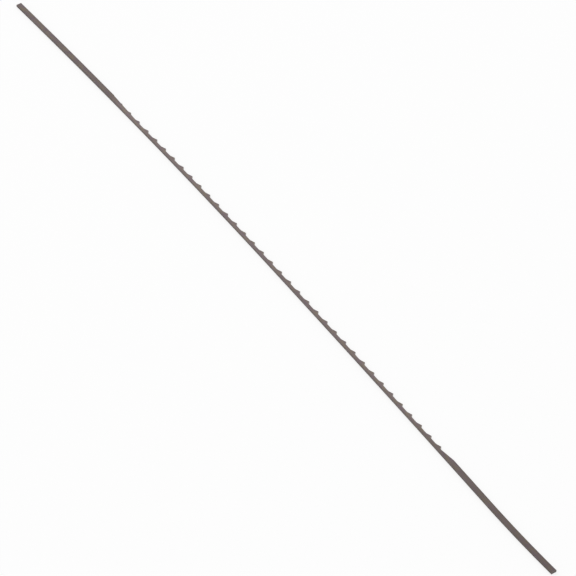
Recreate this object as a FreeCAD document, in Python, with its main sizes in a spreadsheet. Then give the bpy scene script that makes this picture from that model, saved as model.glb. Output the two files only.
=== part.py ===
import FreeCAD, Part
import Sketcher
import math
import os

# Plain-end scroll saw blade: one strip of hardened steel with a row of skip teeth.
# It lies flat on the underside of its broad face. +Z is up through its thickness,
# +X runs along it the way its teeth point, and +Y is the side that the teeth are on.
# Heights across the blade are measured from its back edge.

# Driving dimensions: name, value in millimetres or degrees, meaning.
DRIVING_DIMENSIONS = [
    ("blade_length", 127.0, "whole blade, measured along its back edge"),
    ("strip_width", 0.80, "back edge to front edge where no teeth are cut"),
    ("strip_thickness", 0.38, "rolled strip"),
    ("edge_radius", 0.04, "rounding that rolling leaves on the strip's long edges"),
    ("upper_plain_end", 23.77, "clamped end behind the teeth, up to the run-in"),
    ("lower_plain_end", 21.85, "clamped end in front of the teeth, down to the run-out"),
    ("tooth_pitch", 2.184, "tip to tip"),
    ("tip_drop", 0.055, "front edge down to the line of the tips"),
    ("gullet_depth", 0.285, "tip down to the gullet floor"),
    ("tip_land", 0.04, "flat left on each tip"),
    ("rake_angle", 20.0, "how far the front of a tooth leans back from square"),
    ("relief_angle", 20.5, "how steeply the back of a tooth climbs to its tip"),
    ("root_radius", 0.08, "corner under the front of a tooth"),
    ("heel_radius", 0.80, "hollow where the gullet floor climbs to the next tooth"),
    ("run_in_length", 6.5, "where the cutter sinks from the line of the tips to full depth"),
    ("run_out_length", 2.70, "last tip to where the front edge is whole again"),
    ("run_out_angle", 8.7, "slope on which the cutter leaves the strip"),
    ("bend_change", 2.2, "from the blade's middle to where its middle bend starts"),
    ("lower_bend_length", 13.5, "lower end that bends the other way"),
    ("upper_bend_radius", 1266.0, "bend in the blade's plane, bulging to the teeth"),
    ("middle_bend_radius", 3960.0, "slighter bend the same way"),
    ("lower_bend_radius", 213.0, "bend of the lower end, bulging to the back"),
]

# How far the cutting outlines reach past the metal that they take away.
CUTTER_CLEARANCE = 0.12

# The most that a long edge can be rounded, as a share of the strip's thickness.
LARGEST_ROUNDING = 0.4

# Two small teeth stand on the run-in ahead of the first full gullet.
RUN_IN_TEETH = 2

# The line of the tips is cut this many tip lands past the first and the last tip.
TIP_LINE_OVERLAP = 2

# Formulas that several features share. Each is in terms of the driving dimensions.
UPPER_BEND_LENGTH = "(sizes.blade_length / 2 + sizes.bend_change)"
MIDDLE_BEND_LENGTH = "(sizes.blade_length / 2 - sizes.bend_change - sizes.lower_bend_length)"
UPPER_BEND = "sizes.upper_bend_radius"
MIDDLE_BEND = "sizes.middle_bend_radius"
LOWER_BEND = "sizes.lower_bend_radius"
FIRST_FULL_TIP = "(sizes.upper_plain_end + sizes.run_in_length)"
TEETH_STOP = "(sizes.blade_length - sizes.lower_plain_end - sizes.run_out_length)"
FULL_GULLETS = "floor(({} - {}) / sizes.tooth_pitch)".format(TEETH_STOP, FIRST_FULL_TIP)
UPPER_GULLETS = "floor(({} - {}) / sizes.tooth_pitch + 1)".format(
    UPPER_BEND_LENGTH, FIRST_FULL_TIP)
MIDDLE_GULLETS = "({} - {})".format(FULL_GULLETS, UPPER_GULLETS)
CUT_DEPTH = "(sizes.tip_drop + sizes.gullet_depth)"
TIP_HEIGHT = "(sizes.strip_width - sizes.tip_drop)"
GULLET_HEIGHT = "(sizes.strip_width - {})".format(CUT_DEPTH)
LIP_HEIGHT = "(sizes.strip_width + {})".format(CUTTER_CLEARANCE)

# Teeth are numbered from 0, the first small one on the run-in.
FIRST_FULL_TOOTH = str(RUN_IN_TEETH)
MIDDLE_BEND_TOOTH = "({} + {})".format(RUN_IN_TEETH, UPPER_GULLETS)
LAST_TOOTH = "({} + {})".format(RUN_IN_TEETH, FULL_GULLETS)

# Names for the numbers that sketch relations use.
START, END, CENTRE = range(1, 4)
HORIZONTAL_AXIS, VERTICAL_AXIS = range(-1, -3, -1)
ORIGIN = (HORIZONTAL_AXIS, START)

SQUARE = math.pi / 2

doc = FreeCAD.newDocument("scroll_saw_blade")
sheet = doc.addObject("Spreadsheet::Sheet", "sizes")
for row, (alias, value, meaning) in enumerate(DRIVING_DIMENSIONS, start=1):
    sheet.set("A" + str(row), alias)
    sheet.set("B" + str(row), str(value))
    sheet.set("C" + str(row), meaning)
    sheet.setAlias("B" + str(row), alias)
doc.recompute()

body = doc.addObject("PartDesign::Body", "blade")
body.Label = "blade"
flat_plane = next(plane for plane in body.Origin.OriginFeatures if plane.Role == "XY_Plane")


def size(formula):
    """Value of a formula of the driving dimensions, as a plain number."""
    return float(sheet.evalExpression(formula))


def new_sketch(name, across="0", turn="0", along="0"):
    """Sketch on the blade's underside, moved along and across it, then turned, by formulas."""
    sketch = body.newObject("Sketcher::SketchObject", name)
    sketch.AttachmentSupport = (flat_plane, [""])
    sketch.MapMode = "FlatFace"
    position = "vector({}; {}; 0)".format(along, across)
    rotation = "rotation(vector(0; 0; 1); {})".format(turn)
    sketch.setExpression("AttachmentOffset", "placement({}; {})".format(position, rotation))
    return sketch


def add_line(sketch, start, end):
    """Straight line between two (x, y) points; returns its number in the sketch."""
    line = Part.LineSegment(FreeCAD.Vector(*start, 0), FreeCAD.Vector(*end, 0))
    return sketch.addGeometry(line, False)


def add_arc(sketch, centre, radius, first_angle, last_angle):
    """Arc drawn anticlockwise between two angles in radians; returns its number."""
    circle = Part.Circle(FreeCAD.Vector(*centre, 0), FreeCAD.Vector(0, 0, 1), radius)
    return sketch.addGeometry(Part.ArcOfCircle(circle, first_angle, last_angle), False)


def relate(sketch, *terms):
    """Add a relation that has no size, such as a shared point or a tangent."""
    sketch.addConstraint(Sketcher.Constraint(*terms))


def dimension(sketch, formula, kind, *terms):
    """Add a dimension that follows a formula of the driving dimensions."""
    value = size(formula)
    if kind == "Angle":
        value = math.radians(value)
    number = sketch.addConstraint(Sketcher.Constraint(kind, *terms, value))
    sketch.setExpression("Constraints[{}]".format(number), formula)


def fix_point(sketch, along, across):
    """Construction point whose two places follow formulas; returns its number."""
    spot = FreeCAD.Vector(size(along), size(across), 0)
    point = sketch.addGeometry(Part.Point(spot), True)
    if along == "0":
        relate(sketch, "PointOnObject", point, START, VERTICAL_AXIS)
    else:
        dimension(sketch, along, "DistanceX", *ORIGIN, point, START)
    dimension(sketch, across, "DistanceY", *ORIGIN, point, START)
    return point


def polar(centre, radius, angle):
    """Point at an angle in radians round a centre."""
    return (centre[0] + radius * math.cos(angle), centre[1] + radius * math.sin(angle))


def crossing(first_point, first_angle, second_point, second_angle):
    """Point where two lines cross, each given by a point and an angle in radians."""
    run_x = second_point[0] - first_point[0]
    run_y = second_point[1] - first_point[1]
    turn = math.sin(second_angle - first_angle)
    reach = (run_x * math.sin(second_angle) - run_y * math.cos(second_angle)) / turn
    return polar(first_point, reach, first_angle)


def degrees_round(length, radius):
    """Formula for the turn of a length along a bend, in degrees."""
    return "(180 * {} / (pi * {}))".format(length, radius)


# The rolled strip, cut square at both ends. Three tangent bends lie in its plane, and the
# sketches' frame starts where the upper and the middle bend meet, on the back edge.
width = size("sizes.strip_width")
upper_radius = size(UPPER_BEND)
middle_radius = size(MIDDLE_BEND)
lower_radius = size(LOWER_BEND)
upper_stop = SQUARE + size(UPPER_BEND_LENGTH) / upper_radius
lower_joint = SQUARE - size(MIDDLE_BEND_LENGTH) / middle_radius
lower_start = lower_joint - math.pi
lower_stop = lower_start + size("sizes.lower_bend_length") / lower_radius
upper_centre = (0, -upper_radius)
middle_centre = (0, -middle_radius)
lower_centre = polar(middle_centre, middle_radius + lower_radius, lower_joint)
upper_corner = polar(upper_centre, upper_radius, upper_stop)
lower_corner = polar(lower_centre, lower_radius, lower_stop)

outline = new_sketch("strip_outline")
back_upper = add_arc(outline, upper_centre, upper_radius, SQUARE, upper_stop)
back_middle = add_arc(outline, middle_centre, middle_radius, lower_joint, SQUARE)
back_lower = add_arc(outline, lower_centre, lower_radius, lower_start, lower_stop)
front_upper = add_arc(outline, upper_centre, upper_radius + width, SQUARE, upper_stop)
front_middle = add_arc(outline, middle_centre, middle_radius + width, lower_joint, SQUARE)
front_lower = add_arc(outline, lower_centre, lower_radius - width, lower_start, lower_stop)
upper_end = add_line(outline, upper_corner, polar(upper_centre, upper_radius + width, upper_stop))
lower_end = add_line(outline, lower_corner, polar(lower_centre, lower_radius - width, lower_stop))
for upper, middle, lower in ((back_upper, back_middle, back_lower),
                             (front_upper, front_middle, front_lower)):
    relate(outline, "Tangent", middle, END, upper, START)
    relate(outline, "Tangent", middle, START, lower, START)
for back, front in ((back_upper, front_upper), (back_middle, front_middle),
                    (back_lower, front_lower)):
    relate(outline, "Coincident", back, CENTRE, front, CENTRE)
for end_line, back, front in ((upper_end, back_upper, front_upper),
                              (lower_end, back_lower, front_lower)):
    relate(outline, "Coincident", end_line, START, back, END)
    relate(outline, "Coincident", end_line, END, front, END)
    relate(outline, "PointOnObject", back, CENTRE, end_line)
relate(outline, "Coincident", *ORIGIN, back_middle, END)
relate(outline, "PointOnObject", back_middle, CENTRE, VERTICAL_AXIS)
dimension(outline, "sizes.strip_width", "Distance", upper_end)
for arc, length, radius in ((back_upper, UPPER_BEND_LENGTH, UPPER_BEND),
                            (back_middle, MIDDLE_BEND_LENGTH, MIDDLE_BEND),
                            (back_lower, "sizes.lower_bend_length", LOWER_BEND)):
    dimension(outline, radius, "Radius", arc)
    dimension(outline, degrees_round(length, radius), "Angle", arc)

strip = body.newObject("PartDesign::Pad", "rolled_strip")
strip.Profile = outline
strip.setExpression("Length", "sizes.strip_thickness")
doc.recompute()

# Rolling leaves the strip's four long edges slightly round. The end cuts stay sharp.
rounding = body.newObject("PartDesign::Fillet", "rolled_edges")
long_edges = ["Edge" + str(number) for number, edge in enumerate(strip.Shape.Edges, start=1)
              if isinstance(edge.Curve, Part.Circle)]
rounding.Base = (strip, long_edges)
rounding.setExpression("Radius", "min(sizes.edge_radius; {} * sizes.strip_thickness)".format(
    LARGEST_ROUNDING))


def cut_through(name, sketch):
    """Pocket that takes a sketch's area out of the blade's whole thickness."""
    doc.recompute()
    before = body.Shape.Volume
    pocket = body.newObject("PartDesign::Pocket", name)
    pocket.Profile = sketch
    pocket.Type = "ThroughAll"
    pocket.Reversed = True
    doc.recompute()
    if not pocket.Shape.Volume < before:
        raise RuntimeError(name + " takes nothing away")
    return pocket


def tooth_place(number):
    """Formula for how far a tooth's tip lies beyond the start of the middle bend."""
    return "({} - {} + ({} - {}) * sizes.tooth_pitch)".format(
        FIRST_FULL_TIP, UPPER_BEND_LENGTH, number, RUN_IN_TEETH)


def sketch_at_tooth(name, number, radius):
    """Sketch whose origin is on the back edge of a bend, square behind a tooth's tip."""
    turn = degrees_round(tooth_place(number), radius)
    along = "{} * sin({})".format(radius, turn)
    across = "{} * (cos({}) - 1)".format(radius, turn)
    return new_sketch(name, across, "-" + turn, along)


def run_in_height(number):
    """Formula for the run-in floor's height from the back edge, square behind a tooth's tip."""
    share = "(1 - ({} - {}) * sizes.tooth_pitch / sizes.run_in_length)".format(
        RUN_IN_TEETH, number)
    return "({} - sizes.gullet_depth * {})".format(TIP_HEIGHT, share)


def round_corner(sketch, before, after, corner, before_angle, after_angle, radius):
    """Join two lines that turn left at a corner with a tangent arc of a named radius."""
    reach = size(radius) * math.tan((after_angle - before_angle) / 2)
    touch = polar(corner, -reach, before_angle)
    centre = polar(touch, size(radius), before_angle + SQUARE)
    arc = add_arc(sketch, centre, size(radius), before_angle - SQUARE, after_angle - SQUARE)
    relate(sketch, "Tangent", before, END, arc, START)
    relate(sketch, "Tangent", arc, END, after, START)
    dimension(sketch, radius, "Radius", arc)


def cut_notch(name, number, radius, floor_heights, rise_along, rise_across, rise_angle):
    """Cut one gullet: down the front of a tooth, along the floor and up a slope.

    radius is the bend that the tooth is on. floor_heights are the floor's heights at this
    tip and one pitch further on. The slope passes through (rise_along, rise_across)."""
    sketch = sketch_at_tooth(name, number, radius)
    tip = (0, size(TIP_HEIGHT))
    lip = size(LIP_HEIGHT)
    fall = math.radians(size("sizes.rake_angle")) - SQUARE
    rise = math.radians(size(rise_angle))
    floor_start = (0, size(floor_heights[0]))
    floor_end = (size("sizes.tooth_pitch"), size(floor_heights[1]))
    floor = math.atan2(floor_end[1] - floor_start[1], floor_end[0])
    rise_point = (size(rise_along), size(rise_across))
    root = crossing(tip, fall, floor_start, floor)
    heel = crossing(rise_point, rise, floor_start, floor)
    lip_start = crossing(tip, fall, (0, lip), 0)
    lip_end = crossing(rise_point, rise, (0, lip), 0)
    root_reach = size("sizes.root_radius") * math.tan((floor - fall) / 2)
    heel_reach = size("sizes.heel_radius") * math.tan((rise - floor) / 2)
    front_line = add_line(sketch, lip_start, polar(root, -root_reach, fall))
    floor_line = add_line(sketch, polar(root, root_reach, floor), polar(heel, -heel_reach, floor))
    slope_line = add_line(sketch, polar(heel, heel_reach, rise), lip_end)
    lip_line = add_line(sketch, lip_end, lip_start)
    round_corner(sketch, front_line, floor_line, root, fall, floor, "sizes.root_radius")
    round_corner(sketch, floor_line, slope_line, heel, floor, rise, "sizes.heel_radius")
    relate(sketch, "Coincident", slope_line, END, lip_line, START)
    relate(sketch, "Coincident", lip_line, END, front_line, START)
    relate(sketch, "Horizontal", lip_line)
    dimension(sketch, LIP_HEIGHT, "DistanceY", *ORIGIN, lip_line, START)
    tip_point = fix_point(sketch, "0", TIP_HEIGHT)
    relate(sketch, "PointOnObject", tip_point, START, front_line)
    dimension(sketch, "sizes.rake_angle - 90", "Angle", front_line)
    for along, across in zip(("0", "sizes.tooth_pitch"), floor_heights):
        floor_point = fix_point(sketch, along, across)
        relate(sketch, "PointOnObject", floor_point, START, floor_line)
    slope_point = fix_point(sketch, rise_along, rise_across)
    relate(sketch, "PointOnObject", slope_point, START, slope_line)
    dimension(sketch, rise_angle, "Angle", slope_line)
    return cut_through(name + "_cut", sketch)


def cut_tip_line(name, radius, first_reach, last_reach):
    """Bring the front edge down to the line of the tips between two places on one bend.

    The places are beyond the start of the middle bend. The sketch's origin is the bend's
    centre, and the sketch is returned for the bend's gullets to turn on."""
    sketch = new_sketch(name, "-" + radius)
    tip_radius = size(radius + " + " + TIP_HEIGHT)
    lip_radius = size(radius + " + " + LIP_HEIGHT)
    first_turn = "90 - " + degrees_round(first_reach, radius)
    last_turn = "90 - " + degrees_round(last_reach, radius)
    first_angle = math.radians(size(first_turn))
    last_angle = math.radians(size(last_turn))
    tip_arc = add_arc(sketch, (0, 0), tip_radius, last_angle, first_angle)
    lip_arc = add_arc(sketch, (0, 0), lip_radius, last_angle, first_angle)
    last_line = add_line(sketch, polar((0, 0), tip_radius, last_angle),
                         polar((0, 0), lip_radius, last_angle))
    first_line = add_line(sketch, polar((0, 0), tip_radius, first_angle),
                          polar((0, 0), lip_radius, first_angle))
    for arc, height in ((tip_arc, TIP_HEIGHT), (lip_arc, LIP_HEIGHT)):
        relate(sketch, "Coincident", arc, CENTRE, *ORIGIN)
        dimension(sketch, radius + " + " + height, "Radius", arc)
    for edge_line, arc_end, turn in ((last_line, START, last_turn), (first_line, END, first_turn)):
        relate(sketch, "Coincident", edge_line, START, tip_arc, arc_end)
        relate(sketch, "Coincident", edge_line, END, lip_arc, arc_end)
        relate(sketch, "PointOnObject", *ORIGIN, edge_line)
        dimension(sketch, turn, "Angle", edge_line)
    cut_through(name + "_cut", sketch)
    return sketch


# The front edge is first brought down to the line of the tips, between the first and last.
first_reach = "({} - {} * sizes.tip_land)".format(tooth_place(0), TIP_LINE_OVERLAP)
last_reach = "({} + {} * sizes.tip_land)".format(tooth_place(LAST_TOOTH), TIP_LINE_OVERLAP)
upper_tip_line = cut_tip_line("upper_tip_line", UPPER_BEND, first_reach, "0")
middle_tip_line = cut_tip_line("middle_tip_line", MIDDLE_BEND, "0", last_reach)

# Run-in: the front edge steps down to the line of the tips, and the cutter sinks from there
# along a long ramp, so its first teeth stand in shallow gullets.
ramp_start = "(({} * sizes.tooth_pitch) - sizes.run_in_length)".format(RUN_IN_TEETH)
ramp = sketch_at_tooth("run_in_ramp", 0, UPPER_BEND)
ramp_top = (size(ramp_start), size(TIP_HEIGHT))
ramp_fall = math.atan2(size(run_in_height(0)) - ramp_top[1], -ramp_top[0])
relief = math.radians(size("sizes.relief_angle"))
land_start = (size("-sizes.tip_land"), size(TIP_HEIGHT))
ramp_foot = crossing(ramp_top, ramp_fall, land_start, relief)
step_lip = (ramp_top[0], size(LIP_HEIGHT))
slope_lip = crossing(land_start, relief, (0, size(LIP_HEIGHT)), 0)
ramp_line = add_line(ramp, ramp_top, ramp_foot)
slope_line = add_line(ramp, ramp_foot, slope_lip)
lip_line = add_line(ramp, slope_lip, step_lip)
step_line = add_line(ramp, step_lip, ramp_top)
for before, after in ((ramp_line, slope_line), (slope_line, lip_line), (lip_line, step_line),
                      (step_line, ramp_line)):
    relate(ramp, "Coincident", before, END, after, START)
relate(ramp, "Horizontal", lip_line)
relate(ramp, "Vertical", step_line)
dimension(ramp, LIP_HEIGHT, "DistanceY", *ORIGIN, lip_line, START)
dimension(ramp, ramp_start, "DistanceX", *ORIGIN, ramp_line, START)
dimension(ramp, TIP_HEIGHT, "DistanceY", *ORIGIN, ramp_line, START)
ramp_point = fix_point(ramp, "0", run_in_height(0))
relate(ramp, "PointOnObject", ramp_point, START, ramp_line)
slope_point = fix_point(ramp, "-sizes.tip_land", TIP_HEIGHT)
relate(ramp, "PointOnObject", slope_point, START, slope_line)
dimension(ramp, "sizes.relief_angle", "Angle", slope_line)
cut_through("run_in_ramp_cut", ramp)

# Two shallow gullets stand on the run-in, and each full one climbs to the next tooth's land.
next_land = "sizes.tooth_pitch - sizes.tip_land"
for tooth in range(RUN_IN_TEETH):
    cut_notch("shallow_gullet_" + str(tooth), tooth, UPPER_BEND,
              (run_in_height(tooth), run_in_height(tooth + 1)),
              next_land, TIP_HEIGHT, "sizes.relief_angle")

# Run-out: after the last tip the cutter climbs out to the front edge on a short ramp.
full_depth = (GULLET_HEIGHT, GULLET_HEIGHT)
cut_notch("run_out", LAST_TOOTH, MIDDLE_BEND, full_depth,
          "sizes.run_out_length", "sizes.strip_width", "sizes.run_out_angle")

# Full gullets: a row on each of the two bends that the teeth are on.
for bend_name, radius, tip_line, first_tooth, count in (
        ("upper", UPPER_BEND, upper_tip_line, FIRST_FULL_TOOTH, UPPER_GULLETS),
        ("middle", MIDDLE_BEND, middle_tip_line, MIDDLE_BEND_TOOTH, MIDDLE_GULLETS)):
    first_cut = cut_notch(bend_name + "_gullet", first_tooth, radius, full_depth,
                          next_land, TIP_HEIGHT, "sizes.relief_angle")
    row = body.newObject("PartDesign::PolarPattern", bend_name + "_gullet_row")
    row.Originals = [first_cut]
    row.Axis = (tip_line, ["N_Axis"])
    row.Reversed = True
    row.Mode = "Spacing"
    row.setExpression("Offset", degrees_round("sizes.tooth_pitch", radius))
    row.setExpression("Occurrences", count)
    body.Tip = row
    doc.recompute()

# The part's frame: +X is level with the two back corners, and the origin is at the middle
# of the blade's box, on its underside.
level = math.atan2(lower_corner[1] - upper_corner[1], lower_corner[0] - upper_corner[0])
turn_level = FreeCAD.Rotation(FreeCAD.Vector(0, 0, 1), -math.degrees(level))
body.Placement = FreeCAD.Placement(FreeCAD.Vector(), turn_level)
doc.recompute()
box = body.Shape.BoundBox
body.Placement = FreeCAD.Placement(FreeCAD.Vector(-box.Center.x, -box.Center.y, 0), turn_level)
doc.recompute()

for item in doc.Objects:
    if "Invalid" in item.State or "Error" in item.State:
        raise RuntimeError("not built: " + item.Name)
if body.Shape.isNull() or not body.Shape.isValid() or len(body.Shape.Solids) != 1:
    raise RuntimeError("the blade is not one valid solid")

os.makedirs("parts", exist_ok=True)
body.Shape.exportStep("parts/" + body.Label + ".step")
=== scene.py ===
import math

import bpy
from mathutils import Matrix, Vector


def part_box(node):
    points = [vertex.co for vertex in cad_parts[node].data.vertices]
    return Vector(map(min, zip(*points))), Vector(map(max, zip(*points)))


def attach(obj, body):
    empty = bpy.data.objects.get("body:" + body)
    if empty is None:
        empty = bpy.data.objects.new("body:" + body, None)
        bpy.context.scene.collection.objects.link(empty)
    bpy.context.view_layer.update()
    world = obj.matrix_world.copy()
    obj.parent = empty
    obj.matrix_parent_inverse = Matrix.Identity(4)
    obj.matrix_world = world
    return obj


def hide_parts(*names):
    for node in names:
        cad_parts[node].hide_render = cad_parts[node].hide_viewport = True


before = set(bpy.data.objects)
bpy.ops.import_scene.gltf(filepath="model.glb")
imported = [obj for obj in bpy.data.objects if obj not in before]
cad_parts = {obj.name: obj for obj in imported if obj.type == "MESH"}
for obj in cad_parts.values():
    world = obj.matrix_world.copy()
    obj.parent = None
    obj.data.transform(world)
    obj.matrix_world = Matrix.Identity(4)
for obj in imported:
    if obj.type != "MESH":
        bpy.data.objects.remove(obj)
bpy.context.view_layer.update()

# The camera stands over the blade's lower end and a little behind its back edge, far off
# and with a long lens. The blade then crosses the picture from upper left to lower right.
MM = 0.001
LOOK_AT = Vector((4.33, -0.02, 0.0)) * MM
CAMERA_DISTANCE = 474.3 * MM
CAMERA_ELEVATION = math.radians(50.0)
CAMERA_AZIMUTH = math.radians(-35.856)
camera = bpy.data.objects.new("camera", bpy.data.cameras.new("camera"))
bpy.context.scene.collection.objects.link(camera)
camera.data.sensor_width = 36.0
camera.data.lens = 214.4
camera.data.clip_start = 0.01
towards_camera = Vector((math.cos(CAMERA_ELEVATION) * math.cos(CAMERA_AZIMUTH),
                         math.cos(CAMERA_ELEVATION) * math.sin(CAMERA_AZIMUTH),
                         math.sin(CAMERA_ELEVATION)))
camera.location = LOOK_AT + CAMERA_DISTANCE * towards_camera
camera.rotation_euler = towards_camera.to_track_quat("Z", "Y").to_euler()
bpy.context.scene.camera = camera
bpy.context.scene.view_settings.view_transform = "Standard"

# The room: an even white sky and one large soft lamp, high up behind the blade's upper
# end. Flat steel shows what it mirrors, so the lamp is wide and hardly brighter than the sky.
def add_node(tree, kind, inputs=None, **settings):
    """Add a node with its settings. Each input takes a value, a socket or a whole node,
    which stands for its first output."""
    node = tree.nodes.new(kind)
    for name, value in settings.items():
        setattr(node, name, value)
    for key, value in (inputs or {}).items():
        if isinstance(key, str):
            socket = next(one for one in node.inputs if one.enabled and one.name == key)
        else:
            socket = node.inputs[key]
        if isinstance(value, bpy.types.Node):
            value = next(one for one in value.outputs if one.enabled)
        if isinstance(value, bpy.types.NodeSocket):
            tree.links.new(value, socket)
        else:
            socket.default_value = value
    return node


def linear(code):
    """Turn an sRGB colour such as #746B66 into the linear colour that a shader takes."""
    parts = [int(code[start:start + 2], 16) / 255 for start in (1, 3, 5)]
    return tuple(part / 12.92 if part <= 0.04045 else ((part + 0.055) / 1.055) ** 2.4
                 for part in parts) + (1.0,)


def light_that_shows(tree):
    """Give 1 where light ends in the camera, straight or by way of what shines or is clear,
    and 0 where it only lights something matt."""
    path = add_node(tree, "ShaderNodeLightPath")
    shows = add_node(tree, "ShaderNodeMath",
                     {0: path.outputs["Is Camera Ray"], 1: path.outputs["Is Glossy Ray"]},
                     operation="MAXIMUM")
    return add_node(tree, "ShaderNodeMath",
                    {0: shows, 1: path.outputs["Is Transmission Ray"]}, operation="MAXIMUM")


PAPER_WHITE = "#FDFDFD"
SKY_LIGHT = 0.86
world = bpy.data.worlds.new("white_room")
bpy.context.scene.world = world
world.use_nodes = True
world.node_tree.nodes.clear()
sky = add_node(world.node_tree, "ShaderNodeMapRange",
               {"Value": light_that_shows(world.node_tree), "To Min": SKY_LIGHT})
sky = add_node(world.node_tree, "ShaderNodeBackground",
               {"Color": linear(PAPER_WHITE), "Strength": sky})
add_node(world.node_tree, "ShaderNodeOutputWorld", {"Surface": sky})

LAMP_SIZE = 2.2
LAMP_DISTANCE = 1.9
LAMP_BRIGHTNESS = 1.2
lamp = bpy.data.objects.new("soft_lamp", bpy.data.lights.new("soft_lamp", "AREA"))
bpy.context.scene.collection.objects.link(lamp)
lamp.data.shape = "DISK"
lamp.data.size = LAMP_SIZE
lamp_area = math.pi * (LAMP_SIZE / 2) ** 2
lamp.data.energy = LAMP_BRIGHTNESS * math.pi * lamp_area
towards_lamp = Vector((-0.84, 0.0, 0.54)).normalized()
lamp.location = LAMP_DISTANCE * towards_lamp
lamp.rotation_euler = towards_lamp.to_track_quat("Z", "Y").to_euler()

# The table is a sheet of white board. Most of its white is its own, so that it stays as
# even as paper in a picture, and the rest is lit, so that the blade keeps a faint shadow.
TABLE_SIZE = 6.0
TABLE_GAP = 0.002 * MM
LIT_SHARE = 0.25
board = bpy.data.materials.new("matt_white_board")
board.use_nodes = True
tree = board.node_tree
tree.nodes.clear()
own_share = add_node(tree, "ShaderNodeMath", {0: light_that_shows(tree), 1: 1 - LIT_SHARE},
                     operation="MULTIPLY")
lit = add_node(tree, "ShaderNodeBsdfDiffuse", {"Color": linear(PAPER_WHITE)})
own = add_node(tree, "ShaderNodeEmission", {"Color": linear(PAPER_WHITE)})
both = add_node(tree, "ShaderNodeMixShader", {0: own_share, 1: lit, 2: own})
add_node(tree, "ShaderNodeOutputMaterial", {"Surface": both})
half = TABLE_SIZE / 2
table_mesh = bpy.data.meshes.new("table")
table_mesh.from_pydata([(-half, -half, -TABLE_GAP), (half, -half, -TABLE_GAP),
                        (half, half, -TABLE_GAP), (-half, half, -TABLE_GAP)],
                       [], [(0, 1, 2, 3)])
table_mesh.materials.append(board)
table = bpy.data.objects.new("table", table_mesh)
bpy.context.scene.collection.objects.link(table)

# The blade is one strip of high-carbon steel, rolled flat, hardened and tempered. Its skip
# teeth are milled into one edge between two plain ends, and both ends are sheared off a
# little aslant. It lies in the slight curve that it kept from the coil.
solid_low, solid_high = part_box("blade")
blade_sizes = {  # millimetres and degrees
    "Length": 127.0,
    "Width": 0.80,
    "Thickness": 0.38,
    "Edge rounding": 0.04,
    "Edge break": 0.006,
    "Shear angle": 6.0,  # off square
    "First tip": 25.902,
    "Tooth pitch": 2.184,
    "Teeth": 36,  # with the two shallow ones on the run-in
    "Tip height": 0.745,
    "Floor height": 0.46,
    "Tip land": 0.04,
    "Front angle": 20.0,  # off square
    "Back angle": 20.5,  # off the strip's length
    "Root radius": 0.08,
    "Heel radius": 0.80,
    "Run-in start": 23.77,
    "Run-in end": 30.27,
    "Run-out length": 2.70,
    "Run-out angle": 8.7,  # off the strip's length
    "Upper bend end": 65.7,
    "Lower bend start": 113.5,
    "Upper bend radius": -1266.0,
    "Middle bend radius": -3960.0,
    "Lower bend radius": 213.0,
    "Wander": 0.012,
    "Seed": 5,
    "Middle": (Vector(solid_low) + Vector(solid_high)) / 2 / MM,
}

# Cold-rolled and tempered strip: a dull grey-brown skin with olive and violet temper tints,
# and fine lines drawn along it by the rolls. The lengths of its patterns are millimetres.
def start_steel(name):
    """Start a steel. Give it with its empty tree and the place on the straight strip."""
    steel = bpy.data.materials.new(name)
    steel.use_nodes = True
    steel.node_tree.nodes.clear()
    place = add_node(steel.node_tree, "ShaderNodeAttribute", attribute_name="strip_place")
    return steel, steel.node_tree, place.outputs["Vector"]


def patches(tree, place, size, detail, roughness=0.5, turn=0.0):
    """Add noise in patches of about the given length, width and height."""
    place = add_node(tree, "ShaderNodeMapping",
                     {"Vector": place, "Rotation": (0.0, 0.0, turn),
                      "Scale": [1 / length for length in size]})
    return add_node(tree, "ShaderNodeTexNoise",
                    {"Vector": place, "Scale": 1.0, "Detail": detail, "Roughness": roughness})


def finish_steel(tree, colour, roughness, relief, relief_height, relief_strength):
    """End a steel's tree with a bare metal surface."""
    bump = add_node(tree, "ShaderNodeBump",
                    {"Strength": relief_strength, "Distance": relief_height * MM,
                     "Height": relief})
    surface = add_node(tree, "ShaderNodeBsdfPrincipled",
                       {"Base Color": colour, "Metallic": 1.0, "Roughness": roughness,
                        "Normal": bump})
    add_node(tree, "ShaderNodeOutputMaterial", {"Surface": surface})


TEMPER_TINT = (1.1, 0.40, 0.40)
OLIVE_TINT = "#696056"
VIOLET_TINT = "#675C61"
rolled, tree, place = start_steel("cold_rolled_tempered_steel")
tint = patches(tree, place, TEMPER_TINT, detail=3.0, roughness=0.6)
tint = add_node(tree, "ShaderNodeMapRange", {"Value": tint, "From Min": 0.34, "From Max": 0.66})
colour = add_node(tree, "ShaderNodeMix",
                  {"Factor": tint, "A": linear(OLIVE_TINT), "B": linear(VIOLET_TINT)},
                  data_type="RGBA")
# Roll lines are a few hundredths of a millimetre apart on the real strip. They are drawn
# three times as wide, so that they show.
ROLL_LINE = (16.0, 0.11, 0.11)
lines = patches(tree, place, ROLL_LINE, detail=4.0, roughness=0.65)
shade = add_node(tree, "ShaderNodeMapRange",
                 {"Value": lines, "From Min": 0.3, "From Max": 0.7,
                  "To Min": 0.92, "To Max": 1.08})
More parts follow.
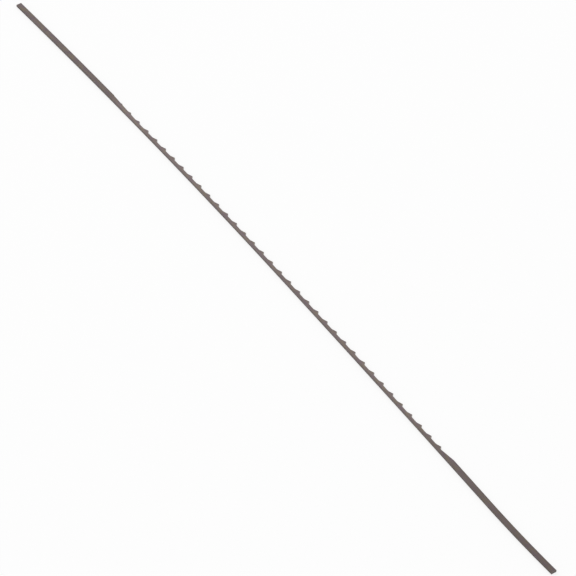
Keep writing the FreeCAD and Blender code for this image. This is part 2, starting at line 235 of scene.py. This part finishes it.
# Between the plain ends the skin is lighter, in blotches a few millimetres long. It fades
# in at the first teeth and out after the last.
BLOTCH = (2.4, 0.7, 0.7)
blotch = patches(tree, place, BLOTCH, detail=4.0, roughness=0.7)
blotch = add_node(tree, "ShaderNodeMapRange",
                  {"Value": blotch, "From Min": 0.3, "From Max": 0.7,
                   "To Min": 0.93, "To Max": 1.07})
shade = add_node(tree, "ShaderNodeMath", {0: shade, 1: blotch}, operation="MULTIPLY")
lighter_stretch_starts = blade_sizes["Run-in start"] - 1.0
lighter_stretch_full = blade_sizes["Run-in start"] + 3.0
last_tip_at = blade_sizes["First tip"] + (blade_sizes["Teeth"] - 1) * blade_sizes["Tooth pitch"]
lighter_stretch_fades = last_tip_at - 4.0
lighter_stretch_ends = last_tip_at + 9.0
measured = add_node(tree, "ShaderNodeSeparateXYZ", {"Vector": place}).outputs
begun = add_node(tree, "ShaderNodeMapRange",
                 {"Value": measured["X"], "From Min": lighter_stretch_starts, "From Max": lighter_stretch_full},
                 interpolation_type="SMOOTHSTEP")
lighter_stretch = add_node(tree, "ShaderNodeMapRange",
                  {"Value": measured["X"], "From Min": lighter_stretch_fades, "From Max": lighter_stretch_ends,
                   "To Min": begun, "To Max": 0.0}, interpolation_type="SMOOTHSTEP")
lighter_stretch = add_node(tree, "ShaderNodeMapRange", {"Value": lighter_stretch, "To Min": 0.90, "To Max": 1.13})
shade = add_node(tree, "ShaderNodeMath", {0: shade, 1: lighter_stretch}, operation="MULTIPLY")
# The skin is darker on and near its long edges, fine scratches run along the strip, and its
# four long corners are worn bright in places.
DARKER_EDGE_REACH = 0.2
SCRATCH = (5.0, 0.022, 0.022)
SCRATCH_SLANT = math.radians(0.3)
RUBBED_CORNER = "#87817B"
other_edge = add_node(tree, "ShaderNodeMath", {0: blade_sizes["Width"], 1: measured["Y"]},
                      operation="SUBTRACT")
from_edge = add_node(tree, "ShaderNodeMath", {0: measured["Y"], 1: other_edge},
                     operation="MINIMUM")
edge_darkening = add_node(tree, "ShaderNodeMapRange",
                 {"Value": from_edge, "From Max": DARKER_EDGE_REACH, "To Min": 0.87, "To Max": 1.03},
                 interpolation_type="SMOOTHSTEP")
shade = add_node(tree, "ShaderNodeMath", {0: shade, 1: edge_darkening}, operation="MULTIPLY")
scratches = patches(tree, place, SCRATCH, detail=1.0, turn=SCRATCH_SLANT)
scratches = add_node(tree, "ShaderNodeMapRange",
                     {"Value": scratches, "From Min": 0.62, "From Max": 0.74,
                      "To Min": 1.0, "To Max": 1.35})
shade = add_node(tree, "ShaderNodeMath", {0: shade, 1: scratches}, operation="MULTIPLY")
colour = add_node(tree, "ShaderNodeVectorMath", {0: colour, "Scale": shade}, operation="SCALE")
corner = add_node(tree, "ShaderNodeAttribute", attribute_name="long_corner").outputs["Fac"]
worn = add_node(tree, "ShaderNodeMath", {0: corner, 1: tint}, operation="MULTIPLY")
colour = add_node(tree, "ShaderNodeMix",
                  {"Factor": worn, "A": colour, "B": linear(RUBBED_CORNER)}, data_type="RGBA")
rough = add_node(tree, "ShaderNodeMapRange", {"Value": tint, "To Min": 0.44, "To Max": 0.54})
finish_steel(tree, colour, roughness=rough, relief=lines,
             relief_height=0.002, relief_strength=0.5)

# Milled steel in the gullets: brighter than the skin, with ridges across the strip where
# the cutter went through. They are drawn twice as wide as the real ones, so that they show.
RIDGE = (0.06, 0.06, 1.5)
RIDGE_FOOT = "#857E78"
RIDGE_TOP = "#A8A29B"
milled, tree, place = start_steel("milled_tempered_steel")
ridges = patches(tree, place, RIDGE, detail=3.0, roughness=0.6)
ridge_shade = add_node(tree, "ShaderNodeMapRange",
                       {"Value": ridges, "From Min": 0.3, "From Max": 0.7})
colour = add_node(tree, "ShaderNodeMix",
                  {"Factor": ridge_shade, "A": linear(RIDGE_FOOT), "B": linear(RIDGE_TOP)},
                  data_type="RGBA")
finish_steel(tree, colour, roughness=0.34, relief=ridges,
             relief_height=0.002, relief_strength=0.6)

# Sheared steel at the two ends: a smoother band where the shear cut, and under it a dark,
# grainy one where the steel broke off. The border between them is wavy.
GRAIN = (0.05, 0.05, 0.05)
BREAK_TOP = 0.26
CUT_BOTTOM = 0.30
BORDER_WAVES = 0.08
BROKEN_STEEL = "#5C5450"
CUT_STEEL = "#77706A"
sheared, tree, place = start_steel("sheared_tempered_steel")
grain = patches(tree, place, GRAIN, detail=2.0)
height = add_node(tree, "ShaderNodeSeparateXYZ", {"Vector": place}).outputs["Z"]
wavy = add_node(tree, "ShaderNodeMath", {0: grain, 1: BORDER_WAVES, 2: height},
                operation="MULTIPLY_ADD")
cut_band = add_node(tree, "ShaderNodeMapRange",
                    {"Value": wavy, "From Min": BREAK_TOP, "From Max": CUT_BOTTOM})
colour = add_node(tree, "ShaderNodeMix",
                  {"Factor": cut_band, "A": linear(BROKEN_STEEL), "B": linear(CUT_STEEL)},
                  data_type="RGBA")
rough = add_node(tree, "ShaderNodeMapRange", {"Value": cut_band, "To Min": 0.68, "To Max": 0.42})
finish_steel(tree, colour, roughness=rough, relief=grain,
             relief_height=0.004, relief_strength=0.7)

# The tree draws the toothed edge as a curve, lofts the strip's section along it, and bends
# the straight blade. It works in millimetres, and its last step turns them into metres.
tree = bpy.data.node_groups.new("skip_tooth_blade", "GeometryNodeTree")
tree.interface.new_socket("Geometry", in_out="OUTPUT", socket_type="NodeSocketGeometry")
socket_keys = {}
for name, value in blade_sizes.items():
    kind = {int: "NodeSocketInt", float: "NodeSocketFloat"}.get(type(value), "NodeSocketVector")
    socket_keys[name] = tree.interface.new_socket(name, socket_type=kind).identifier
given = add_node(tree, "NodeGroupInput").outputs
index = add_node(tree, "GeometryNodeInputIndex")

# Each angle is used as its tangent.
tangents = {}
for name in ("Back angle", "Front angle", "Run-out angle", "Shear angle"):
    angle = add_node(tree, "ShaderNodeMath", {0: given[name]}, operation="RADIANS")
    tangents[name] = add_node(tree, "ShaderNodeMath", {0: angle}, operation="TANGENT")

# Four corners of a tooth: the foot of its back, the start of its narrow land, its tip, and
# the root under its front. lean is how far along the strip the tooth's side runs for each
# millimetre that it rises.
depth = add_node(tree, "ShaderNodeMath", {0: given["Tip height"], 1: given["Floor height"]},
                 operation="SUBTRACT")
back_lean = add_node(tree, "ShaderNodeMath", {0: 1.0, 1: tangents["Back angle"]},
                     operation="DIVIDE")
front_lean = add_node(tree, "ShaderNodeMath", {0: tangents["Front angle"], 1: -1.0},
                      operation="MULTIPLY")
land_start = add_node(tree, "ShaderNodeMath", {0: given["First tip"], 1: given["Tip land"]},
                      operation="SUBTRACT")
back_run = add_node(tree, "ShaderNodeMath", {0: depth, 1: back_lean}, operation="MULTIPLY")
foot = add_node(tree, "ShaderNodeMath", {0: land_start, 1: back_run}, operation="SUBTRACT")
root = add_node(tree, "ShaderNodeMath",
                {0: depth, 1: tangents["Front angle"], 2: given["First tip"]},
                operation="MULTIPLY_ADD")
# The first foot, close behind the run-in's step, stays sharp.
after_first = add_node(tree, "ShaderNodeMath", {0: index, 1: 0.5}, operation="GREATER_THAN")
foot_radius = add_node(tree, "ShaderNodeMath", {0: given["Heel radius"], 1: after_first},
                       operation="MULTIPLY")
# The cutter wandered: each tooth is up to about a hundredth of a millimetre off its place,
# and less across the strip than along it.
WANDER_SHARES = Vector((1.0, 0.4, 0.0))
down_wander = add_node(tree, "ShaderNodeVectorMath",
                       {0: -WANDER_SHARES, "Scale": given["Wander"]}, operation="SCALE")
up_wander = add_node(tree, "ShaderNodeVectorMath",
                     {0: WANDER_SHARES, "Scale": given["Wander"]}, operation="SCALE")
wander = add_node(tree, "FunctionNodeRandomValue",
                  {"Min": down_wander, "Max": up_wander, "ID": index, "Seed": given["Seed"]},
                  data_type="FLOAT_VECTOR")
pitch = add_node(tree, "ShaderNodeCombineXYZ", {"X": given["Tooth pitch"]})
corners = add_node(tree, "GeometryNodeJoinGeometry")
for along, across, lean, radius in (
        (foot, given["Floor height"], back_lean, foot_radius),
        (land_start, given["Tip height"], 0.0, 0.0),
        (given["First tip"], given["Tip height"], 0.0, 0.0),
        (root, given["Floor height"], front_lean, given["Root radius"])):
    first = add_node(tree, "ShaderNodeCombineXYZ", {"X": along, "Y": across})
    row = add_node(tree, "GeometryNodeMeshLine",
                   {"Count": given["Teeth"], "Start Location": first, "Offset": pitch})
    row = add_node(tree, "GeometryNodeStoreNamedAttribute",
                   {"Geometry": row, "Name": "lean", "Value": lean})
    row = add_node(tree, "GeometryNodeStoreNamedAttribute",
                   {"Geometry": row, "Name": "corner_radius", "Value": radius})
    row = add_node(tree, "GeometryNodeSetPosition", {"Geometry": row, "Offset": wander})
    tree.links.new(row.outputs[0], corners.inputs[0])

# Over the run-in the cutter sinks along a ramp. A corner that would lie below the ramp
# slides up its tooth's side until it is on it.
ramp_run = add_node(tree, "ShaderNodeMath", {0: given["Run-in end"], 1: given["Run-in start"]},
                    operation="SUBTRACT")
ramp_slope = add_node(tree, "ShaderNodeMath", {0: depth, 1: ramp_run}, operation="DIVIDE")
corner = add_node(tree, "ShaderNodeSeparateXYZ",
                  {0: add_node(tree, "GeometryNodeInputPosition")}).outputs
to_ramp_end = add_node(tree, "ShaderNodeMath", {0: given["Run-in end"], 1: corner["X"]},
                       operation="SUBTRACT")
ramp_height = add_node(tree, "ShaderNodeMath",
                       {0: to_ramp_end, 1: ramp_slope, 2: given["Floor height"]},
                       operation="MULTIPLY_ADD")
below_ramp = add_node(tree, "ShaderNodeMath", {0: ramp_height, 1: corner["Y"]},
                      operation="SUBTRACT")
lean = add_node(tree, "GeometryNodeInputNamedAttribute", {"Name": "lean"})
climb_rate = add_node(tree, "ShaderNodeMath", {0: ramp_slope, 1: lean, 2: 1.0},
                      operation="MULTIPLY_ADD")
climb = add_node(tree, "ShaderNodeMath", {0: below_ramp, 1: climb_rate}, operation="DIVIDE")
climb = add_node(tree, "ShaderNodeMath", {0: climb, 1: 0.0}, operation="MAXIMUM")
slide = add_node(tree, "ShaderNodeCombineXYZ", {"X": lean, "Y": 1.0})
slide = add_node(tree, "ShaderNodeVectorMath", {0: slide, "Scale": climb}, operation="SCALE")
corners = add_node(tree, "GeometryNodeSetPosition", {"Geometry": corners, "Offset": slide})

# After the last tooth the cutter climbs out along a short ramp. Both plain ends have the
# strip's full width, and the ramp of the run-in starts a small step below the upper one.
# They have stations about a millimetre apart, so that they follow the bends.
PLAIN_STATIONS = 26
last_reach = add_node(tree, "ShaderNodeMath", {0: given["Teeth"], 1: 1.0}, operation="SUBTRACT")
last_tip = add_node(tree, "ShaderNodeMath",
                    {0: last_reach, 1: given["Tooth pitch"], 2: given["First tip"]},
                    operation="MULTIPLY_ADD")
out_end = add_node(tree, "ShaderNodeMath", {0: last_tip, 1: given["Run-out length"]},
                   operation="ADD")
out_climb = add_node(tree, "ShaderNodeMath", {0: given["Width"], 1: given["Floor height"]},
                     operation="SUBTRACT")
out_run = add_node(tree, "ShaderNodeMath", {0: out_climb, 1: tangents["Run-out angle"]},
                   operation="DIVIDE")
out_start = add_node(tree, "ShaderNodeMath", {0: out_end, 1: out_run}, operation="SUBTRACT")
out_foot = add_node(tree, "ShaderNodeCombineXYZ", {"X": out_start, "Y": given["Floor height"]})
out_foot = add_node(tree, "GeometryNodeMeshLine", {"Count": 1, "Start Location": out_foot})
out_foot = add_node(tree, "GeometryNodeStoreNamedAttribute",
                    {"Geometry": out_foot, "Name": "corner_radius",
                     "Value": given["Heel radius"]})
step_end = add_node(tree, "ShaderNodeMath", {0: given["Run-in start"], 1: given["Edge break"]},
                    operation="ADD")
step_foot = add_node(tree, "ShaderNodeCombineXYZ", {"X": step_end, "Y": given["Tip height"]})
step_foot = add_node(tree, "GeometryNodeMeshLine", {"Count": 1, "Start Location": step_foot})
edge = add_node(tree, "GeometryNodeJoinGeometry", {0: corners})
tree.links.new(out_foot.outputs[0], edge.inputs[0])
tree.links.new(step_foot.outputs[0], edge.inputs[0])
for start, end in ((0.0, given["Run-in start"]), (out_end, given["Length"])):
    start = add_node(tree, "ShaderNodeCombineXYZ", {"X": start, "Y": given["Width"]})
    end = add_node(tree, "ShaderNodeCombineXYZ", {"X": end, "Y": given["Width"]})
    plain = add_node(tree, "GeometryNodeMeshLine",
                     {"Count": PLAIN_STATIONS, "Start Location": start, "Offset": end},
                     mode="END_POINTS")
    tree.links.new(plain.outputs[0], edge.inputs[0])

# The corners, in their order along the strip, make the toothed edge. Feet and roots are
# rounded as the cutter leaves them.
CORNER_STEPS = 5
edge = add_node(tree, "GeometryNodeMeshToPoints", {"Mesh": edge})
along = add_node(tree, "ShaderNodeSeparateXYZ", {0: add_node(tree, "GeometryNodeInputPosition")})
edge = add_node(tree, "GeometryNodePointsToCurves", {"Points": edge, "Weight": along})
radius = add_node(tree, "GeometryNodeInputNamedAttribute", {"Name": "corner_radius"})
edge = add_node(tree, "GeometryNodeFilletCurve",
                {"Curve": edge, "Count": CORNER_STEPS, "Radius": radius, "Limit Radius": True},
                mode="POLY")
stations = add_node(tree, "GeometryNodeAttributeDomainSize", {0: edge}, component="CURVE")

# A grid is wrapped round the strip, one row of points for each station and one more at each
# end to close it. A row goes round the section's four rounded corners, and spread is 1 in it,
# but 0 in the two closing rows, which shrink to the section's middle.
CORNER_POINTS = 5
SECTION_POINTS = 4 * CORNER_POINTS
rows = add_node(tree, "FunctionNodeIntegerMath", {0: stations, 1: 2}, operation="ADD")
skin = add_node(tree, "GeometryNodeMeshGrid",
                {"Vertices X": rows, "Vertices Y": SECTION_POINTS + 1})
row = add_node(tree, "FunctionNodeIntegerMath", {0: index, 1: SECTION_POINTS + 1},
               operation="DIVIDE_FLOOR")
point = add_node(tree, "FunctionNodeIntegerMath", {0: index, 1: SECTION_POINTS + 1},
                 operation="MODULO")
station = add_node(tree, "FunctionNodeIntegerMath", {0: row, 1: 1}, operation="SUBTRACT")
station_place = add_node(tree, "GeometryNodeSampleIndex",
                         {"Geometry": edge, "Value": add_node(tree, "GeometryNodeInputPosition"),
                          "Index": station}, data_type="FLOAT_VECTOR", clamp=True)
station_place = add_node(tree, "ShaderNodeSeparateXYZ", {0: station_place}).outputs
height = station_place["Y"]
from_start = add_node(tree, "FunctionNodeIntegerMath", {0: row, 1: 1}, operation="MINIMUM")
from_end = add_node(tree, "FunctionNodeIntegerMath", {0: rows, 1: row}, operation="SUBTRACT")
from_end = add_node(tree, "FunctionNodeIntegerMath", {0: from_end, 1: 1}, operation="SUBTRACT")
from_end = add_node(tree, "FunctionNodeIntegerMath", {0: from_end, 1: 1}, operation="MINIMUM")
spread = add_node(tree, "FunctionNodeIntegerMath", {0: from_start, 1: from_end},
                  operation="MULTIPLY")
quarter = add_node(tree, "FunctionNodeIntegerMath", {0: point, 1: CORNER_POINTS},
                   operation="DIVIDE_FLOOR")
step = add_node(tree, "FunctionNodeIntegerMath", {0: point, 1: CORNER_POINTS},
                operation="MODULO")
turn = add_node(tree, "ShaderNodeMath", {0: step, 1: 1 / (CORNER_POINTS - 1), 2: quarter},
                operation="MULTIPLY_ADD")
directions = []
for amount in (turn, add_node(tree, "ShaderNodeMath", {0: quarter, 1: 0.5}, operation="ADD")):
    angle = add_node(tree, "ShaderNodeMath", {0: amount, 1: math.pi / 2}, operation="MULTIPLY")
    cosine = add_node(tree, "ShaderNodeMath", {0: angle}, operation="COSINE")
    sine = add_node(tree, "ShaderNodeMath", {0: angle}, operation="SINE")
    directions.append(add_node(tree, "ShaderNodeCombineXYZ", {"Y": cosine, "Z": sine}))
outward, towards_corner = directions
corner_side = add_node(tree, "ShaderNodeVectorMath", {0: towards_corner}, operation="SIGN")
on_front = add_node(tree, "ShaderNodeSeparateXYZ", {0: corner_side}).outputs["Y"]
cut_away = add_node(tree, "ShaderNodeMath", {0: given["Width"], 1: height},
                    operation="SUBTRACT")
left_rounding = add_node(tree, "ShaderNodeMath", {0: given["Edge rounding"], 1: cut_away},
                         operation="SUBTRACT")
front_rounding = add_node(tree, "ShaderNodeMath", {0: left_rounding, 1: given["Edge break"]},
                          operation="MAXIMUM")
rounding = add_node(tree, "GeometryNodeSwitch",
                    {"Switch": on_front, "False": given["Edge rounding"],
                     "True": front_rounding}, input_type="FLOAT")
middle = add_node(tree, "ShaderNodeCombineXYZ", {"Y": height, "Z": given["Thickness"]})
middle = add_node(tree, "ShaderNodeVectorMath", {0: middle, "Scale": 0.5}, operation="SCALE")
inset = add_node(tree, "ShaderNodeCombineXYZ", {"Y": rounding, "Z": rounding})
to_centre = add_node(tree, "ShaderNodeVectorMath", {0: middle, 1: inset}, operation="SUBTRACT")
rim = add_node(tree, "ShaderNodeVectorMath", {0: outward, "Scale": rounding}, operation="SCALE")
ring = add_node(tree, "ShaderNodeVectorMath", {0: corner_side, 1: to_centre, 2: rim},
                operation="MULTIPLY_ADD")
ring = add_node(tree, "ShaderNodeVectorMath", {0: ring, "Scale": spread}, operation="SCALE")
ring = add_node(tree, "ShaderNodeVectorMath", {0: ring, 1: middle}, operation="ADD")

# The shear stood a little aslant. The back edge stands out at the upper end, and the front
# edge at the lower one.
NEXT_TO_NOTHING = 0.0001
to_stop = add_node(tree, "ShaderNodeMath", {0: given["Length"], 1: station_place["X"]},
                   operation="SUBTRACT")
at_start = add_node(tree, "ShaderNodeMath", {0: station_place["X"], 1: NEXT_TO_NOTHING},
                    operation="LESS_THAN")
at_stop = add_node(tree, "ShaderNodeMath", {0: to_stop, 1: NEXT_TO_NOTHING},
                   operation="LESS_THAN")
across = add_node(tree, "ShaderNodeSeparateXYZ", {0: ring}).outputs["Y"]
from_front_edge = add_node(tree, "ShaderNodeMath", {0: across, 1: given["Width"]},
                           operation="SUBTRACT")
upper_lean = add_node(tree, "ShaderNodeMath", {0: across, 1: at_start}, operation="MULTIPLY")
end_lean = add_node(tree, "ShaderNodeMath", {0: from_front_edge, 1: at_stop, 2: upper_lean},
                    operation="MULTIPLY_ADD")
along = add_node(tree, "ShaderNodeMath",
                 {0: end_lean, 1: tangents["Shear angle"], 2: station_place["X"]},
                 operation="MULTIPLY_ADD")
along = add_node(tree, "ShaderNodeCombineXYZ", {"X": along})
straight = add_node(tree, "ShaderNodeVectorMath", {0: ring, 1: along}, operation="ADD")
skin = add_node(tree, "GeometryNodeSetPosition", {"Geometry": skin, "Position": straight})
skin = add_node(tree, "GeometryNodeStoreNamedAttribute",
                {"Geometry": skin, "Name": "strip_place",
                 "Value": add_node(tree, "GeometryNodeInputPosition")},
                data_type="FLOAT_VECTOR")
# long_corner is 1 in the middle of a rounded long corner, and 0 where it meets a flat face.
round_corner = add_node(tree, "ShaderNodeMath", {0: step, 1: math.pi / (CORNER_POINTS - 1)},
                        operation="MULTIPLY")
on_corner = add_node(tree, "ShaderNodeMath", {0: round_corner}, operation="SINE")
skin = add_node(tree, "GeometryNodeStoreNamedAttribute",
                {"Geometry": skin, "Name": "long_corner", "Value": on_corner})

# Marks on the faces: those that the shear left, those that the cutter left, and those that
# are curved and so are shaded smooth. A face takes the mean of its corners, which makes
# spread a half on the sheared faces and 1 on all others.
BELOW_ONE = 0.9
spread_here = add_node(tree, "GeometryNodeFieldOnDomain", {0: spread}, domain="POINT",
                       data_type="FLOAT")
on_end = add_node(tree, "ShaderNodeMath", {0: spread_here, 1: BELOW_ONE},
                  operation="LESS_THAN")
cut_here = add_node(tree, "GeometryNodeFieldOnDomain", {0: cut_away}, domain="POINT",
                    data_type="FLOAT")
is_cut = add_node(tree, "ShaderNodeMath", {0: cut_here, 1: NEXT_TO_NOTHING},
                  operation="GREATER_THAN")
face = add_node(tree, "FunctionNodeIntegerMath", {0: index, 1: SECTION_POINTS},
                operation="MODULO")
from_front = add_node(tree, "FunctionNodeIntegerMath", {0: face, 1: CORNER_POINTS},
                      operation="ADD")
from_front = add_node(tree, "FunctionNodeIntegerMath", {0: from_front, 1: SECTION_POINTS},
                      operation="MODULO")
faces_front = add_node(tree, "ShaderNodeMath", {0: from_front, 1: 2 * CORNER_POINTS - 1},
                       operation="LESS_THAN")
in_gullet = add_node(tree, "ShaderNodeMath", {0: is_cut, 1: faces_front}, operation="MULTIPLY")
in_corner = add_node(tree, "FunctionNodeIntegerMath", {0: face, 1: CORNER_POINTS},
                     operation="MODULO")
in_corner = add_node(tree, "ShaderNodeMath", {0: in_corner, 1: CORNER_POINTS - 1},
                     operation="LESS_THAN")
curved = add_node(tree, "ShaderNodeMath", {0: in_corner, 1: in_gullet}, operation="MAXIMUM")
curved = add_node(tree, "ShaderNodeMath", {0: curved, 1: on_end}, operation="SUBTRACT")
for name, mark in (("sheared", on_end), ("milled", in_gullet), ("curved", curved)):
    skin = add_node(tree, "GeometryNodeStoreNamedAttribute",
                    {"Geometry": skin, "Name": name, "Value": mark}, domain="FACE")
curved = add_node(tree, "GeometryNodeInputNamedAttribute", {"Name": "curved"})
is_curved = add_node(tree, "ShaderNodeMath", {0: curved, 1: 0.5}, operation="GREATER_THAN")
skin = add_node(tree, "GeometryNodeSetShadeSmooth",
                {"Geometry": skin, "Shade Smooth": is_curved})
skin = add_node(tree, "GeometryNodeFlipFaces", {"Mesh": skin})
skin = add_node(tree, "GeometryNodeMergeByDistance",
                {"Geometry": skin, "Distance": NEXT_TO_NOTHING})
SHARP_ANGLE = math.radians(28)
edge_angle = add_node(tree, "GeometryNodeInputMeshEdgeAngle")
is_sharp = add_node(tree, "ShaderNodeMath", {0: edge_angle, 1: SHARP_ANGLE},
                    operation="GREATER_THAN")
skin = add_node(tree, "GeometryNodeSetShadeSmooth",
                {"Geometry": skin, "Selection": is_sharp, "Shade Smooth": False},
                domain="EDGE")

# The coil's curve: a path is walked in steps of a tenth of a millimetre, and turns at each
# by the bend there.
PATH_STEPS = 1270
stride = add_node(tree, "ShaderNodeMath", {0: given["Length"], 1: PATH_STEPS},
                  operation="DIVIDE")
passed = add_node(tree, "ShaderNodeMath", {0: index, 1: 0.5}, operation="ADD")
passed = add_node(tree, "ShaderNodeMath", {0: passed, 1: stride}, operation="MULTIPLY")
below_upper = add_node(tree, "ShaderNodeMath", {0: passed, 1: given["Upper bend end"]},
                       operation="GREATER_THAN")
in_lower = add_node(tree, "ShaderNodeMath", {0: passed, 1: given["Lower bend start"]},
                    operation="GREATER_THAN")
bend = add_node(tree, "GeometryNodeSwitch",
                {"Switch": below_upper, "False": given["Upper bend radius"],
                 "True": given["Middle bend radius"]}, input_type="FLOAT")
bend = add_node(tree, "GeometryNodeSwitch",
                {"Switch": in_lower, "False": bend, "True": given["Lower bend radius"]},
                input_type="FLOAT")
turned = add_node(tree, "ShaderNodeMath", {0: stride, 1: bend}, operation="DIVIDE")
heading = add_node(tree, "GeometryNodeAccumulateField", {0: turned}).outputs["Trailing"]
heading = add_node(tree, "ShaderNodeMath", {0: turned, 1: 0.5, 2: heading},
                   operation="MULTIPLY_ADD")
ahead = add_node(tree, "ShaderNodeMath", {0: heading}, operation="COSINE")
aside = add_node(tree, "ShaderNodeMath", {0: heading}, operation="SINE")
move = add_node(tree, "ShaderNodeCombineXYZ", {"X": ahead, "Y": aside})
move = add_node(tree, "ShaderNodeVectorMath", {0: move, "Scale": stride}, operation="SCALE")
walked = add_node(tree, "GeometryNodeAccumulateField", {0: move},
                  data_type="FLOAT_VECTOR").outputs["Trailing"]
path = add_node(tree, "GeometryNodeMeshLine", {"Count": PATH_STEPS + 1})
path = add_node(tree, "GeometryNodeSetPosition", {"Geometry": path, "Position": walked})
path_end = add_node(tree, "GeometryNodeSampleIndex",
                    {"Geometry": path, "Value": add_node(tree, "GeometryNodeInputPosition"),
                     "Index": PATH_STEPS}, data_type="FLOAT_VECTOR")
path_end = add_node(tree, "ShaderNodeSeparateXYZ", {0: path_end}).outputs
path = add_node(tree, "GeometryNodeMeshToCurve", {"Mesh": path})
strip_place = add_node(tree, "GeometryNodeInputNamedAttribute", {"Name": "strip_place"},
                       data_type="FLOAT_VECTOR")
strip_place = add_node(tree, "ShaderNodeSeparateXYZ", {0: strip_place}).outputs
on_path = add_node(tree, "GeometryNodeSampleCurve",
                   {"Curves": path, "Length": strip_place["X"]}, mode="LENGTH").outputs
sideways = add_node(tree, "ShaderNodeVectorMath",
                    {0: (0.0, 0.0, 1.0), 1: on_path["Tangent"]}, operation="CROSS_PRODUCT")
off_path = add_node(tree, "ShaderNodeVectorMath", {0: sideways, "Scale": strip_place["Y"]},
                    operation="SCALE")
lift = add_node(tree, "ShaderNodeCombineXYZ", {"Z": strip_place["Z"]})
bent = add_node(tree, "ShaderNodeVectorMath", {0: on_path["Position"], 1: off_path},
                operation="ADD")
bent = add_node(tree, "ShaderNodeVectorMath", {0: bent, 1: lift}, operation="ADD")
skin = add_node(tree, "GeometryNodeSetPosition", {"Geometry": skin, "Position": bent})

# The blade is turned level with its two back corners and centred in the solid's box.
slant = add_node(tree, "ShaderNodeMath", {0: path_end["Y"], 1: path_end["X"]},
                 operation="ARCTAN2")
level = add_node(tree, "ShaderNodeMath", {0: slant, 1: -1.0}, operation="MULTIPLY")
level = add_node(tree, "ShaderNodeCombineXYZ", {"Z": level})
skin = add_node(tree, "GeometryNodeTransform", {"Geometry": skin, "Rotation": level})
box = add_node(tree, "GeometryNodeBoundBox", {"Geometry": skin}).outputs
off_centre = add_node(tree, "ShaderNodeVectorMath", {0: box["Min"], 1: box["Max"]},
                      operation="ADD")
off_centre = add_node(tree, "ShaderNodeVectorMath", {0: off_centre, "Scale": 0.5},
                      operation="SCALE")
to_middle = add_node(tree, "ShaderNodeVectorMath", {0: given["Middle"], 1: off_centre},
                     operation="SUBTRACT")
to_middle = add_node(tree, "ShaderNodeVectorMath", {0: to_middle, "Scale": MM},
                     operation="SCALE")
skin = add_node(tree, "GeometryNodeTransform",
                {"Geometry": skin, "Translation": to_middle, "Scale": (MM, MM, MM)})
skin = add_node(tree, "GeometryNodeRealizeInstances", {"Geometry": skin})
skin = add_node(tree, "GeometryNodeSetMaterial", {"Geometry": skin, "Material": rolled})
for name, steel in (("sheared", sheared), ("milled", milled)):
    mark = add_node(tree, "GeometryNodeInputNamedAttribute", {"Name": name})
    mark = add_node(tree, "ShaderNodeMath", {0: mark, 1: 0.5}, operation="GREATER_THAN")
    skin = add_node(tree, "GeometryNodeSetMaterial",
                    {"Geometry": skin, "Selection": mark, "Material": steel})
add_node(tree, "NodeGroupOutput", {0: skin})

blade = bpy.data.objects.new("toothed_blade", bpy.data.meshes.new("toothed_blade"))
bpy.context.scene.collection.objects.link(blade)
maker = blade.modifiers.new("skip_tooth_blade", "NODES")
maker.node_group = tree
for name, value in blade_sizes.items():
    maker[socket_keys[name]] = value
depsgraph = bpy.context.evaluated_depsgraph_get()
blade_mesh = bpy.data.meshes.new_from_object(
    blade.evaluated_get(depsgraph), preserve_all_data_layers=True, depsgraph=depsgraph)
blade.modifiers.remove(maker)
blade.data = blade_mesh
for name in ("sheared", "milled", "curved"):
    blade_mesh.attributes.remove(blade_mesh.attributes[name])
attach(blade, "root")
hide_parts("blade")
